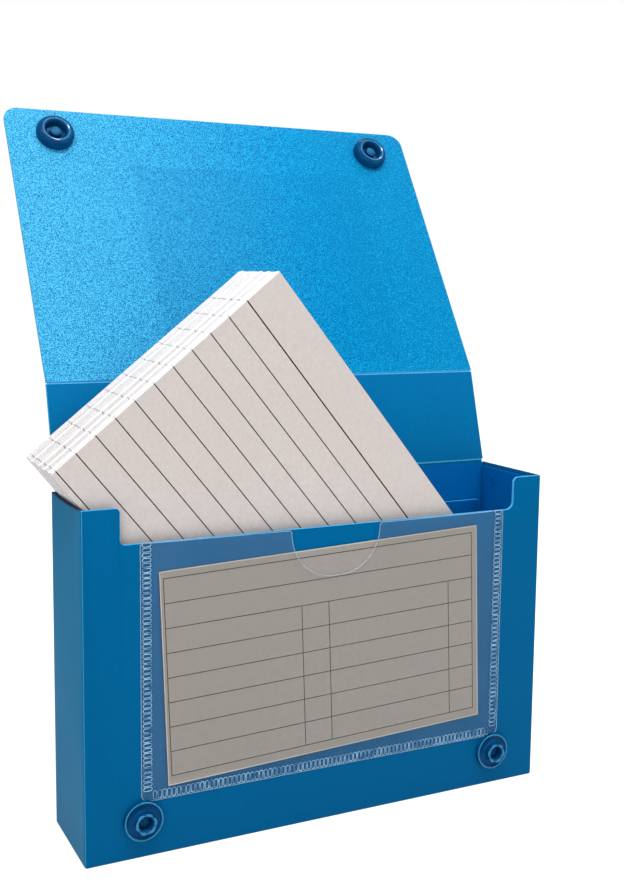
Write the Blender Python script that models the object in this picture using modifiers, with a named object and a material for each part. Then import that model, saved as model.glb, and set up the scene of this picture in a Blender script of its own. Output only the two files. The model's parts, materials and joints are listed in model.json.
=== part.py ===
# Snap-closed index card case: a folded plastic box with a hinged lid, snaps, a label pocket
# and a pack of ruled cards that stands tipped up in it.
# Metres, +Z up, front towards -Y. The origin is the centre of the case's underside.

import bpy
import bmesh
from math import acos, atan, cos, pi, radians, sin, tan
from mathutils import Matrix, Vector

for old in list(bpy.data.objects):
    bpy.data.objects.remove(old, do_unlink=True)

# Folded plastic sheet of the case
CASE_WIDTH = 0.136
CASE_DEPTH = 0.0285
CASE_HEIGHT = 0.0902
SHEET = 0.0008
GAP = 0.0003
OVERRUN = 0.004
FOLD_RADIUS = 0.0012
BOTTOM_FOLD_RADIUS = 0.0007

# Cut-out in the top of the front wall
CUT_DEPTH = 0.0092
TAB_WIDTH = 0.0097
TAB_CORNER = 0.0014
CUT_FILLET = 0.0016

# Side flaps that fold in from the back wall, and their spot welds
SIDE_FLAP_REACH = 0.0245
SIDE_FLAP_DROP = 0.0011
SIDE_FLAP_CORNER = 0.003
WELD_RADIUS = 0.0012
WELD_DEPTH = 0.0003
WELD_INSET = 0.0064
WELD_DROP = 0.0052
WELD_COUNT = 3

# Inner layer on the back wall
LINER_THICKNESS = 0.0004
LINER_DROP = 0.0115
LINER_SIDE_CLEARANCE = 0.0005

# Lid: a top panel and a flap, joined to the back wall by two creases
LID_SIDE_STEP = 0.0008
TOP_PANEL_LEAN = radians(16.0)
FLAP_BEYOND_SNAPS = 0.0091
FLAP_LEAN = radians(31.6)
FLAP_CORNER = 0.0045

# Snap fasteners
SNAP_INSET = 0.015
SNAP_HEIGHT = 0.010
SHANK_RADIUS = 0.0010
STUD_RADIUS = 0.0052
STUD_RIM_HEIGHT = 0.0013
STUD_RIM_WIDTH = 0.0005
STUD_DISH_HEIGHT = 0.0008
STUD_POST_RADIUS = 0.0029
STUD_NECK_RADIUS = 0.0026
STUD_POST_HEIGHT = 0.0032
STUD_RECESS_RADIUS = 0.0021
STUD_RECESS_DEPTH = 0.0010
SOCKET_RADIUS = 0.0056
SOCKET_HEIGHT = 0.0030
SOCKET_CROWN_RADIUS = 0.0043
SOCKET_RECESS_RADIUS = 0.0034
SOCKET_FLOOR = 0.0006
HEAD_RADIUS = 0.0017
HEAD_THICKNESS = 0.0006
CAP_RADIUS = 0.0054
CAP_THICKNESS = 0.0012
CAP_EDGE = 0.0005
CHAMFER = 0.0002

# Blank form, and the clear pocket on the front wall that holds it
LABEL_WIDTH = 0.0942
LABEL_HEIGHT = 0.0557
LABEL_THICKNESS = 0.00025
LABEL_TURN = radians(2.36)
LABEL_OFFSET = -0.0004
POCKET_SIDE_ROOM = 0.0029
POCKET_OFFSET = 0.0007
POCKET_BOTTOM = 0.0146
SEAM_WIDTH = 0.0030
FILM_THICKNESS = 0.0002
NOTCH_RADIUS = 0.0131

# Ruled cards: one in front, and bundles of nine behind it
CARD_LENGTH = 0.127
CARD_WIDTH = 0.0762
CARD_THICKNESS = 0.00019
CARDS_PER_BUNDLE = 9
STACK_FRONT_CLEARANCE = 0.0017
STACK_BACK_CLEARANCE = 0.0006
LOOSE_TILT = radians(1.0)
LOOSE_TILT_SHARES = (1.0, 0.95, 0.75, 0.9, 0.65, 0.5, 0.7, 0.4, 0.55, 0.3, 0.5, 0.45)
TILT_LIMITS = (radians(20.0), radians(80.0))
TILT_STEPS = 50

# Segments of turned and rounded shapes
TURN_STEPS = 24
ARC_STEPS = 4

# Places that follow from the sizes
FRONT = -CASE_DEPTH / 2
BACK = CASE_DEPTH / 2
HALF_WIDTH = CASE_WIDTH / 2
CREASE_HEIGHT = CASE_HEIGHT + GAP + SHEET / 2
CREASE_DEPTH = BACK - SHEET / 2
HALF_LID = HALF_WIDTH - LID_SIDE_STEP
SNAP_X = HALF_WIDTH - SNAP_INSET
BORE_RADIUS = SHANK_RADIUS + GAP
CUT_HEIGHT = CASE_HEIGHT - CUT_DEPTH
LINER_TOP = CASE_HEIGHT - LINER_DROP
TOP_PANEL_LENGTH = CASE_DEPTH
SOCKET_REACH = CREASE_HEIGHT - SNAP_HEIGHT
FLAP_LENGTH = SOCKET_REACH + FLAP_BEYOND_SNAPS
LABEL_SPAN = LABEL_WIDTH * cos(LABEL_TURN) + LABEL_HEIGHT * sin(LABEL_TURN)
POCKET_WIDTH = LABEL_SPAN + 2 * POCKET_SIDE_ROOM + 2 * SEAM_WIDTH
SEAM_THICKNESS = 2 * GAP + LABEL_THICKNESS

# Screen colours, from 0 to 255
BLUE_SHEET = (6, 112, 178)
DARK_BLUE = (14, 84, 130)
CLEAR_FILM = (150, 190, 215)
CARD_WHITE = (228, 224, 218)
LABEL_GREY = (186, 180, 174)

parts = bpy.data.collections.new("index_card_case")
cutters = bpy.data.collections.new("cutters")
bpy.context.scene.collection.children.link(parts)
bpy.context.scene.collection.children.link(cutters)


def linear(screen_value):
    share = screen_value / 255
    if share <= 0.04045:
        return share / 12.92
    return ((share + 0.055) / 1.055) ** 2.4


def material(name, screen_colour, roughness):
    made = bpy.data.materials.new(name)
    made.use_nodes = True
    shader = made.node_tree.nodes["Principled BSDF"]
    shader.inputs["Base Color"].default_value = [linear(value) for value in screen_colour] + [1]
    shader.inputs["Roughness"].default_value = roughness
    shader.inputs["Metallic"].default_value = 0
    return made


def add_object(name, bm, collection, parent=None):
    mesh = bpy.data.meshes.new(name)
    bmesh.ops.recalc_face_normals(bm, faces=bm.faces)
    bm.to_mesh(mesh)
    bm.free()
    made = bpy.data.objects.new(name, mesh)
    made.parent = parent
    collection.objects.link(made)
    return made


def add_part(name, bm, screen_colour, roughness, parent=None):
    made = add_object(name, bm, parts, parent)
    made.data.materials.append(material(name, screen_colour, roughness))
    return made


def cut(target, bm, parent=None):
    cutter = add_object(target.name + "_cutter", bm, cutters, parent)
    cutter.hide_render = True
    cutter.display_type = "WIRE"
    step = target.modifiers.new("cut", "BOOLEAN")
    step.operation = "DIFFERENCE"
    step.solver = "EXACT"
    step.object = cutter


def add_empty(name, place, turn, parent=None):
    made = bpy.data.objects.new(name, None)
    made.location = place
    made.rotation_euler = turn
    made.parent = parent
    parts.objects.link(made)
    return made


# A box between two corners
def box(low, high):
    low = Vector(low)
    high = Vector(high)
    bm = bmesh.new()
    bmesh.ops.create_cube(bm, size=1)
    bmesh.ops.scale(bm, vec=high - low, verts=bm.verts)
    bmesh.ops.translate(bm, vec=(low + high) / 2, verts=bm.verts)
    return bm


# A cylinder between two points
def cylinder(radius, start, end):
    start = Vector(start)
    end = Vector(end)
    bm = bmesh.new()
    length = (end - start).length
    bmesh.ops.create_cone(
        bm, cap_ends=True, segments=TURN_STEPS, radius1=radius, radius2=radius, depth=length
    )
    turn = Vector((0, 0, 1)).rotation_difference(end - start).to_matrix().to_4x4()
    bmesh.ops.transform(bm, matrix=Matrix.Translation((start + end) / 2) @ turn, verts=bm.verts)
    return bm


# Rounds the edges that run along one axis (0 is X, 1 is Y, 2 is Z) and whose middle passes a test
def round_edges(bm, axis, test, radius, segments=ARC_STEPS):
    chosen = []
    for edge in bm.edges:
        first, second = (vert.co for vert in edge.verts)
        along = (second - first).normalized()
        if abs(along[axis]) > 0.99 and test((first + second) / 2):
            chosen.append(edge)
    bmesh.ops.bevel(
        bm, geom=chosen, offset=radius, segments=segments, profile=0.5, affect="EDGES", material=-1
    )


# An outline through corners given as (across, up, radius), with an arc at each round corner
def rounded_outline(corners):
    points = []
    for index, (across, up, radius) in enumerate(corners):
        here = Vector((across, up))
        before = (Vector(corners[index - 1][:2]) - here).normalized()
        after = (Vector(corners[(index + 1) % len(corners)][:2]) - here).normalized()
        if radius == 0:
            points.append(here)
            continue
        half_angle = acos(before.dot(after)) / 2
        reach = radius / tan(half_angle)
        centre = here + (before + after).normalized() * (radius / sin(half_angle))
        start = here + before * reach - centre
        end = here + after * reach - centre
        sweep = start.angle_signed(end)
        for step in range(ARC_STEPS + 1):
            turned_start = Matrix.Rotation(-sweep * step / ARC_STEPS, 2) @ start
            points.append(centre + turned_start)
    return points


# A flat plate between two depths: its outline lies in a plane across Y, or across X
def plate(outline, low, high, across_x=False):
    bm = bmesh.new()
    if across_x:
        verts = [bm.verts.new((low, across, up)) for across, up in outline]
    else:
        verts = [bm.verts.new((across, low, up)) for across, up in outline]
    bm.faces.new(verts)
    grown = bmesh.ops.extrude_face_region(bm, geom=list(bm.faces))["geom"]
    moved = [item for item in grown if isinstance(item, bmesh.types.BMVert)]
    way = Vector((high - low, 0, 0)) if across_x else Vector((0, high - low, 0))
    bmesh.ops.translate(bm, vec=way, verts=moved)
    return bm


# A profile of (radius, height) points turned about local Z, a closed ring or a piece with a
# solid core. It runs down its outer side.
def turned(name, profile, ring, screen_colour, roughness, parent):
    bm = bmesh.new()
    points = [bm.verts.new((radius, 0, height)) for radius, height in profile]
    for first, second in zip(points, points[1:]):
        bm.edges.new((first, second))
    if ring:
        bm.edges.new((points[-1], points[0]))
    made = add_part(name, bm, screen_colour, roughness, parent)
    screw = made.modifiers.new("turn", "SCREW")
    screw.axis = "Z"
    screw.angle = 2 * pi
    screw.steps = TURN_STEPS
    screw.render_steps = TURN_STEPS
    screw.use_merge_vertices = True
    screw.merge_threshold = GAP / 6
    screw.use_smooth_shade = True
    return made


# The folded box: bottom, back, front and outer side walls, with the cut-out between two tabs
def make_case():
    bm = box((-HALF_WIDTH, FRONT, 0), (HALF_WIDTH, BACK, CASE_HEIGHT))
    round_edges(bm, 2, lambda middle: True, FOLD_RADIUS)
    foot = [edge for edge in bm.edges if all(vert.co.z == 0 for vert in edge.verts)]
    bmesh.ops.bevel(
        bm, geom=foot, offset=BOTTOM_FOLD_RADIUS, segments=2, profile=0.5, affect="EDGES", material=-1
    )
    case = add_part("case_shell", bm, BLUE_SHEET, 0.45)
    inner_low = (SHEET - HALF_WIDTH, FRONT + SHEET, SHEET)
    cut(case, box(inner_low, (HALF_WIDTH - SHEET, BACK - SHEET, CASE_HEIGHT + OVERRUN)))
    tab_edge = HALF_WIDTH - TAB_WIDTH
    above = CASE_HEIGHT + OVERRUN
    notch = rounded_outline(
        [
            (-tab_edge - OVERRUN, above, 0),
            (-tab_edge - OVERRUN, CASE_HEIGHT, 0),
            (-tab_edge, CASE_HEIGHT, TAB_CORNER),
            (-tab_edge, CUT_HEIGHT, CUT_FILLET),
            (tab_edge, CUT_HEIGHT, CUT_FILLET),
            (tab_edge, CASE_HEIGHT, TAB_CORNER),
            (tab_edge + OVERRUN, CASE_HEIGHT, 0),
            (tab_edge + OVERRUN, above, 0),
        ]
    )
    cut(case, plate(notch, FRONT - OVERRUN, FRONT + SHEET + GAP))
    for side in (-1, 1):
        start = (side * SNAP_X, FRONT - OVERRUN, SNAP_HEIGHT)
        end = (side * SNAP_X, FRONT + SHEET + OVERRUN, SNAP_HEIGHT)
        cut(case, cylinder(BORE_RADIUS, start, end))


# Inner side walls that fold in from the back wall and are spot welded to the outer ones
def make_side_flaps():
    rear = BACK - SHEET - GAP
    front = rear - SIDE_FLAP_REACH
    low = SHEET + GAP
    top = CASE_HEIGHT - SIDE_FLAP_DROP
    outline = rounded_outline(
        [
            (rear, low, 0),
            (rear, top, 0),
            (front, top, SIDE_FLAP_CORNER),
            (front, low, SIDE_FLAP_CORNER),
        ]
    )
    highest = CASE_HEIGHT - WELD_DROP
    spacing = (highest - CASE_HEIGHT / 8) / (WELD_COUNT - 1)
    for name, side in (("left_side_flap", -1), ("right_side_flap", 1)):
        outer = side * (HALF_WIDTH - SHEET)
        inner = outer - side * SHEET
        flap = add_part(name, plate(outline, outer, inner, across_x=True), BLUE_SHEET, 0.45)
        for index in range(WELD_COUNT):
            place = (BACK - WELD_INSET, highest - index * spacing)
            start = (inner + side * WELD_DEPTH, *place)
            cut(flap, cylinder(WELD_RADIUS, start, (inner - side * OVERRUN, *place)))


# Second layer on the inside of the back wall
def make_back_liner():
    half = HALF_WIDTH - 2 * SHEET - LINER_SIDE_CLEARANCE
    rear = BACK - SHEET
    low = (-half, rear - LINER_THICKNESS, SHEET + GAP)
    add_part("back_liner", box(low, (half, rear, LINER_TOP)), BLUE_SHEET, 0.45)


# A lid panel rises from its crease, with a half-round edge about the hinge axis
def round_hinge_edge(bm):
    round_edges(bm, 0, lambda middle: middle.z < -SHEET / 4, SHEET / 2)
    bmesh.ops.remove_doubles(bm, verts=bm.verts, dist=GAP / 10)


def make_top_panel(crease):
    low = (-HALF_LID, -SHEET / 2, -SHEET / 2)
    high = (HALF_LID, SHEET / 2, TOP_PANEL_LENGTH - SHEET / 2 - GAP)
    bm = box(low, high)
    round_hinge_edge(bm)
    add_part("top_panel", bm, BLUE_SHEET, 0.45, crease)


def make_flap(crease):
    outline = rounded_outline(
        [
            (-HALF_LID, -SHEET / 2, 0),
            (HALF_LID, -SHEET / 2, 0),
            (HALF_LID, FLAP_LENGTH, FLAP_CORNER),
            (-HALF_LID, FLAP_LENGTH, FLAP_CORNER),
        ]
    )
    bm = plate(outline, -SHEET / 2, SHEET / 2)
    round_hinge_edge(bm)
    flap = add_part("flap", bm, BLUE_SHEET, 0.45, crease)
    for side in (-1, 1):
        start = (side * SNAP_X, -OVERRUN, SOCKET_REACH)
        cut(flap, cylinder(BORE_RADIUS, start, (side * SNAP_X, OVERRUN, SOCKET_REACH)), crease)


# The front half of a snap: a dished stud with a hollow post
def stud_profile():
    recess_floor = STUD_POST_HEIGHT - STUD_RECESS_DEPTH
    rim_inner = STUD_RADIUS - STUD_RIM_WIDTH
    return [
        (STUD_RECESS_RADIUS, STUD_POST_HEIGHT),
        (STUD_POST_RADIUS - CHAMFER, STUD_POST_HEIGHT),
        (STUD_POST_RADIUS, STUD_POST_HEIGHT - CHAMFER),
        (STUD_POST_RADIUS, STUD_POST_HEIGHT - 3 * CHAMFER),
        (STUD_NECK_RADIUS, STUD_RIM_HEIGHT),
        (STUD_POST_RADIUS, STUD_DISH_HEIGHT),
        (rim_inner - CHAMFER, STUD_DISH_HEIGHT),
        (rim_inner, STUD_RIM_HEIGHT),
        (STUD_RADIUS - CHAMFER, STUD_RIM_HEIGHT),
        (STUD_RADIUS, STUD_RIM_HEIGHT - CHAMFER),
        (STUD_RADIUS, 0),
        (BORE_RADIUS, 0),
        (BORE_RADIUS, recess_floor),
        (STUD_RECESS_RADIUS, recess_floor),
    ]


# The other half: a domed ring whose recess takes the post
def socket_profile():
    return [
        (SOCKET_RECESS_RADIUS, SOCKET_HEIGHT - CHAMFER),
        (SOCKET_RECESS_RADIUS + CHAMFER, SOCKET_HEIGHT),
        (SOCKET_CROWN_RADIUS, SOCKET_HEIGHT),
        ((SOCKET_CROWN_RADIUS + 2 * SOCKET_RADIUS) / 3, SOCKET_HEIGHT - 2 * CHAMFER),
        (SOCKET_RADIUS - CHAMFER / 2, SOCKET_HEIGHT / 2),
        (SOCKET_RADIUS, SOCKET_FLOOR),
        (SOCKET_RADIUS, 0),
        (BORE_RADIUS, 0),
        (BORE_RADIUS, SOCKET_FLOOR),
        (SOCKET_RECESS_RADIUS, SOCKET_FLOOR),
    ]


# A rivet holds each half: a cap on the far side of the sheet, a shank through it, a pressed head
def rivet_profile(head_seat):
    head_low = head_seat + GAP
    head_high = head_low + HEAD_THICKNESS
    return [
        (0, head_high),
        (HEAD_RADIUS - CHAMFER, head_high),
        (HEAD_RADIUS, head_high - CHAMFER),
        (HEAD_RADIUS, head_low),
        (SHANK_RADIUS, head_low),
        (SHANK_RADIUS, -SHEET),
        (CAP_RADIUS, -SHEET),
        (CAP_RADIUS, -SHEET - CAP_EDGE),
        (CAP_RADIUS - 2 * CAP_EDGE, -SHEET - CAP_EDGE - (CAP_THICKNESS - CAP_EDGE) / 2),
        (CAP_RADIUS / 2, -SHEET - CAP_THICKNESS + CHAMFER),
        (0, -SHEET - CAP_THICKNESS),
    ]


def make_snaps(flap_crease):
    stud_seat = STUD_POST_HEIGHT - STUD_RECESS_DEPTH
    for name, side in (("left", -1), ("right", 1)):
        outwards = (pi / 2, 0, 0)
        on_front = add_empty(name + "_stud_axis", (side * SNAP_X, FRONT, SNAP_HEIGHT), outwards)
        turned(name + "_stud", stud_profile(), True, DARK_BLUE, 0.25, on_front)
        turned(name + "_stud_rivet", rivet_profile(stud_seat), False, DARK_BLUE, 0.25, on_front)
        on_flap_place = (side * SNAP_X, -SHEET / 2, SOCKET_REACH)
        on_flap = add_empty(name + "_socket_axis", on_flap_place, outwards, flap_crease)
        turned(name + "_socket", socket_profile(), True, DARK_BLUE, 0.25, on_flap)
        turned(name + "_socket_rivet", rivet_profile(SOCKET_FLOOR), False, DARK_BLUE, 0.25, on_flap)


# Clear film welded to the front wall along three sides, open at the top, with a thumb notch.
# Its lower corners are cut away round the studs.
def make_label_pocket():
    left = POCKET_OFFSET - POCKET_WIDTH / 2
    right = POCKET_OFFSET + POCKET_WIDTH / 2
    film = FRONT - SEAM_THICKNESS
    bm = box((left, film - FILM_THICKNESS, POCKET_BOTTOM), (right, FRONT, CUT_HEIGHT))
    pocket = add_part("label_pocket", bm, CLEAR_FILM, 0.15)
    pouch_low = (left + SEAM_WIDTH, film, POCKET_BOTTOM + SEAM_WIDTH)
    cut(pocket, box(pouch_low, (right - SEAM_WIDTH, FRONT + OVERRUN, CUT_HEIGHT + OVERRUN)))
    start = (POCKET_OFFSET, film - OVERRUN, CUT_HEIGHT)
    cut(pocket, cylinder(NOTCH_RADIUS, start, (POCKET_OFFSET, FRONT + OVERRUN, CUT_HEIGHT)))
    for side in (-1, 1):
        start = (side * SNAP_X, film - OVERRUN, SNAP_HEIGHT)
        end = (side * SNAP_X, FRONT + OVERRUN, SNAP_HEIGHT)
        cut(pocket, cylinder(STUD_RADIUS + GAP, start, end))


# The label form stands on its lower left corner in the pocket, turned a little
def make_label_card():
    rise = LABEL_WIDTH * sin(LABEL_TURN)
    height = LABEL_HEIGHT * cos(LABEL_TURN)
    middle_up = POCKET_BOTTOM + SEAM_WIDTH + GAP + (rise + height) / 2
    guide = add_empty("label_guide", (LABEL_OFFSET, FRONT - GAP, middle_up), (0, -LABEL_TURN, 0))
    low = (-LABEL_WIDTH / 2, -LABEL_THICKNESS, -LABEL_HEIGHT / 2)
    bm = box(low, (LABEL_WIDTH / 2, 0, LABEL_HEIGHT / 2))
    add_part("label_card", bm, LABEL_GREY, 0.6, guide)


# Where a card's left corner lies when its long edge slopes down to the right by a tilt: the lower
# right corner stands on the bottom, and the edge rests on the top of the left wall
def left_corner(tilt):
    up = SHEET + GAP + CARD_LENGTH * sin(tilt)
    left_wall = SHEET - HALF_WIDTH
    across = left_wall - (up - CASE_HEIGHT - GAP) / tan(tilt)
    return across, up


# The least tilt at which a card fits, when its right corner meets the right side flap
def least_tilt():
    right_wall = HALF_WIDTH - 2 * SHEET - GAP
    low, high = TILT_LIMITS
    for _ in range(TILT_STEPS):
        middle = (low + high) / 2
        right_corner = left_corner(middle)[0] + CARD_LENGTH * cos(middle) + CARD_WIDTH * sin(middle)
        if right_corner > right_wall:
            low = middle
        else:
            high = middle
    return high


# The pack of cards, from the back bundle to the single card in front. Its foot is held between
# the walls and its top fans out, so each bundle leans a little more to the front.
def make_cards():
    lift = add_empty("card_lift", (0, 0, SHEET), (0, 0, 0))
    counts = [CARDS_PER_BUNDLE] * (len(LOOSE_TILT_SHARES) - 1) + [1]
    depth = BACK - SHEET - LINER_THICKNESS - STACK_BACK_CLEARANCE
    pack = sum(counts) * CARD_THICKNESS + (len(counts) - 1) * GAP
    front_foot = depth - pack
    front_rim = FRONT + SHEET + STACK_FRONT_CLEARANCE
    back_lean = -atan((STACK_BACK_CLEARANCE - GAP) / LINER_TOP)
    front_lean = atan((front_foot - front_rim) / CASE_HEIGHT)
    base_tilt = least_tilt()
    for index, (count, share) in enumerate(zip(counts, LOOSE_TILT_SHARES)):
        thickness = count * CARD_THICKNESS
        tilt = base_tilt + LOOSE_TILT * share
        across, up = left_corner(tilt)
        lean = back_lean + (front_lean - back_lean) * index / (len(counts) - 1)
        name = "card_bundle_%02d" % (index + 1) if count > 1 else "front_card"
        bm = box((0, -thickness, 0), (CARD_LENGTH, 0, CARD_WIDTH))
        card = add_part(name, bm, CARD_WHITE, 0.7, lift)
        slope = Matrix.Rotation(lean, 4, "X") @ Matrix.Translation((across, 0, up))
        card.matrix_local = Matrix.Translation((0, depth, -SHEET)) @ slope @ Matrix.Rotation(tilt, 4, "Y")
        depth -= thickness + GAP


back_crease_place = (0, CREASE_DEPTH, CREASE_HEIGHT)
back_crease = add_empty("back_crease", back_crease_place, (-TOP_PANEL_LEAN, 0, 0))
extra_lean = FLAP_LEAN - TOP_PANEL_LEAN
front_crease = add_empty("front_crease", (0, 0, TOP_PANEL_LENGTH), (-extra_lean, 0, 0), back_crease)

make_case()
make_side_flaps()
make_back_liner()
make_top_panel(back_crease)
make_flap(front_crease)
make_snaps(front_crease)
make_label_pocket()
make_label_card()
make_cards()
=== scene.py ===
# %% [markdown]
# # A snap-closed index card case, dressed for rendering
# The CAD frame gives every piece its true place, and MuJoCo moves it. This script gives each
# piece its looks: folded plastic sheet, moulded snaps, a welded clear pocket and ruled cards.
# All lengths are in metres, in the frame of the CAD model, with +Z up and the front towards -Y.

# %% Load the frame
import json
import random
from math import atan2, cos, degrees, pi, radians, sin, tan

import bmesh
import bpy
from mathutils import Matrix, Vector


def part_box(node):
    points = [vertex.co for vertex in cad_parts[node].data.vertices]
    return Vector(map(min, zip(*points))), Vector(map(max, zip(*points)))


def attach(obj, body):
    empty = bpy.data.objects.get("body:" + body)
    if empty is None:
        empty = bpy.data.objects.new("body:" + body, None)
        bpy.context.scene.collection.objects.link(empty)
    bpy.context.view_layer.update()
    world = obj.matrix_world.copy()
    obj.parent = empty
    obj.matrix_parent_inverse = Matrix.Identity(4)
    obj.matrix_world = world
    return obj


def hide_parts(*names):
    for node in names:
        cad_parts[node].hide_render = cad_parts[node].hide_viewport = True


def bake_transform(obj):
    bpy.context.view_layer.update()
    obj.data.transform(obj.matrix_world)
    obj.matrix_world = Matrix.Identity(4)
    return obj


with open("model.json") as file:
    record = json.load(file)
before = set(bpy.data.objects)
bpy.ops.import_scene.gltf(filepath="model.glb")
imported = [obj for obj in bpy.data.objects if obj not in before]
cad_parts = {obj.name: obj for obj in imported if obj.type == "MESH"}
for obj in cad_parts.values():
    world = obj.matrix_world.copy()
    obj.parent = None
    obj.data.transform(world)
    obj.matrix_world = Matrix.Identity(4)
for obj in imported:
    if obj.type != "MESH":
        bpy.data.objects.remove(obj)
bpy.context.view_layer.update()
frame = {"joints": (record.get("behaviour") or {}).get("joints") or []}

# %% [markdown]
# ## Sizes
# The real object is one die-cut sheet of polypropylene, folded into a box. Its walls, the cards
# and the snaps all have sizes that the CAD model already holds, so the places of the pieces are
# read from the CAD nodes' boxes, and only small finishing sizes are named here.

# %% Places read from the CAD model
MM = 0.001
case_low, case_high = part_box("case_shell")
SHEET = 0.8 * MM
FRONT, BACK, TOP = case_low.y, case_high.y, case_high.z
HALF_WIDTH = case_high.x
TAB_EDGE = HALF_WIDTH - 9.7 * MM
CUT_HEIGHT = TOP - 9.2 * MM
LID_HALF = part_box("flap")[1].x

crease_of = {joint["name"]: Vector(joint["pos_m"]) for joint in frame["joints"] if "pos_m" in joint}
BACK_CREASE = crease_of["back_crease"]
FRONT_CREASE = crease_of["front_crease"]
top_lean = atan2(FRONT_CREASE.y - BACK_CREASE.y, FRONT_CREASE.z - BACK_CREASE.z)
TOP_LENGTH = (FRONT_CREASE - BACK_CREASE).length
FLAP_LEAN = radians(31.6)
FLAP_LENGTH = 90.0 * MM
print("the lid's panels lean %.1f and %.1f degrees" % (degrees(top_lean), degrees(FLAP_LEAN)))


# %% [markdown]
# ## Finishes
# Each material is a small set of nodes round one Principled shader. A helper adds a node, sets its
# values and links it, so that the recipe of a finish can be read from top to bottom.
# Screen colours are written as they look, from 0 to 255, and turned into linear light.

# %% Helpers for materials
def linear(red, green, blue):
    shares = [value / 255 for value in (red, green, blue)]
    return [s / 12.92 if s <= 0.04045 else ((s + 0.055) / 1.055) ** 2.4 for s in shares] + [1]


def new_material(name, roughness, **constants):
    material = bpy.data.materials.new(name)
    material.use_nodes = True
    shader = material.node_tree.nodes["Principled BSDF"]
    shader.inputs["Roughness"].default_value = roughness
    for socket, value in constants.items():
        shader.inputs[socket.replace("_", " ")].default_value = value
    return material, shader


def add_node(material, kind, settings=None, **values):
    node = material.node_tree.nodes.new(kind)
    for name, value in (settings or {}).items():
        setattr(node, name, value)
    for name, value in values.items():
        socket = node.inputs[int(name[1:])] if name[0] == "i" and name[1:].isdigit() else node.inputs[name]
        link_or_set(material, value, socket)
    return node


def link_or_set(material, value, socket):
    if isinstance(value, bpy.types.NodeSocket):
        material.node_tree.links.new(value, socket)
    else:
        socket.default_value = value


def noise(material, scale, detail=2.0, roughness=0.5):
    place = add_node(material, "ShaderNodeTexCoord").outputs["Object"]
    return add_node(
        material, "ShaderNodeTexNoise", Vector=place, Scale=scale, Detail=detail, Roughness=roughness
    ).outputs["Fac"]


def spread(material, value, low, high, from_low=0.3, from_high=0.7):
    made = add_node(material, "ShaderNodeMapRange", Value=value)
    for socket, number in (("From Min", from_low), ("From Max", from_high), ("To Min", low), ("To Max", high)):
        made.inputs[socket].default_value = number
    return made.outputs["Result"]


def blend_colours(material, share, first, second):
    mix = add_node(material, "ShaderNodeMix", {"data_type": "RGBA"})
    link_or_set(material, share, mix.inputs[0])
    link_or_set(material, first, mix.inputs[6])
    link_or_set(material, second, mix.inputs[7])
    return mix.outputs[2]


def add_bump(material, shader, height, strength, depth):
    bump = add_node(material, "ShaderNodeBump", Height=height, Strength=strength, Distance=depth)
    material.node_tree.links.new(bump.outputs["Normal"], shader.inputs["Normal"])


# %% [markdown]
# Polypropylene sheet comes off an embossed roller, so it has a fine pebble grain all over, and
# the light makes it sparkle. A fine noise drives both a shallow bump and a small change in
# colour, and a slow noise keeps large faces from looking like one flat tone.

# %% Plastic sheet
def sheet_finish(name, deep, bright, roughness=0.42, grain=0.35, gloss=0.06):
    material, shader = new_material(name, roughness, IOR=1.49, Specular_IOR_Level=gloss)
    fine = noise(material, 2300, 1.5, 0.6)
    broad = noise(material, 22, 2.0, 0.5)
    tone = blend_colours(material, spread(material, fine, 0.0, 1.0), linear(*deep), linear(*bright))
    slow = blend_colours(material, spread(material, broad, 0.0, 0.35), tone, linear(*deep))
    material.node_tree.links.new(slow, shader.inputs["Base Color"])
    material.node_tree.links.new(
        spread(material, broad, roughness - 0.04, roughness + 0.05), shader.inputs["Roughness"]
    )
    add_bump(material, shader, fine, grain, 0.08 * MM)
    return material


case_sheet = sheet_finish("case_sheet", (0, 89, 138), (0, 96, 147), gloss=0.02)
# The lid's top panel is painted a lighter blue than the case, painted light for a single sheet lit from
# behind.
lit_top_sheet = sheet_finish("lit_top_sheet", (0, 98, 149), (2, 107, 162), gloss=0.03)
# Cut rims of the sheet are a paler blue, a painted highlight.
painted_edge_highlight = sheet_finish("painted_edge_highlight", (56, 150, 206), (86, 176, 224), 0.5, 0.1)
# The outer faces of the side walls get a lighter, less glossy copy of the sheet, a painted sheen.
painted_side_sheen = sheet_finish("painted_side_sheen", (12, 107, 149), (22, 115, 159), 0.5, 0.2, 0.02)
# Faces inside the case get a bluer copy of the sheet, painted light that lifts the inside.
inner_lit_sheet = sheet_finish("inner_lit_sheet", (0, 84, 152), (0, 92, 162), gloss=0.04)
shaded_rim = sheet_finish("shaded_rim", (0, 58, 104), (0, 66, 114), 0.5, 0.1)
# The scored folds are a paler blue, a painted highlight.
painted_fold_highlight = sheet_finish("painted_fold_highlight", (44, 132, 182), (64, 152, 198), 0.4, 0.1)
painted_crease_highlight = sheet_finish("painted_crease_highlight", (60, 160, 212), (95, 185, 226), 0.4, 0.1, 0.2)

# %% [markdown]
# The flap has the strongest grain of all, and it carries a faint, slightly darker rectangle.
# A mask made from the distance along and across the flap darkens that place with soft borders.

# %% Flap sheet with its darker rectangle
def soft_band(material, value, low, high, blur):
    """1 between low and high, falling to 0 over the blur on both sides."""
    sides = []
    for start, end in ((low - blur, low + blur), (high + blur, high - blur)):
        side = add_node(material, "ShaderNodeMapRange", {"interpolation_type": "SMOOTHSTEP"}, Value=value)
        side.inputs["From Min"].default_value = start
        side.inputs["From Max"].default_value = end
        sides.append(side.outputs["Result"])
    return add_node(material, "ShaderNodeMath", {"operation": "MULTIPLY"}, i0=sides[0], i1=sides[1]).outputs[0]


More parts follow.
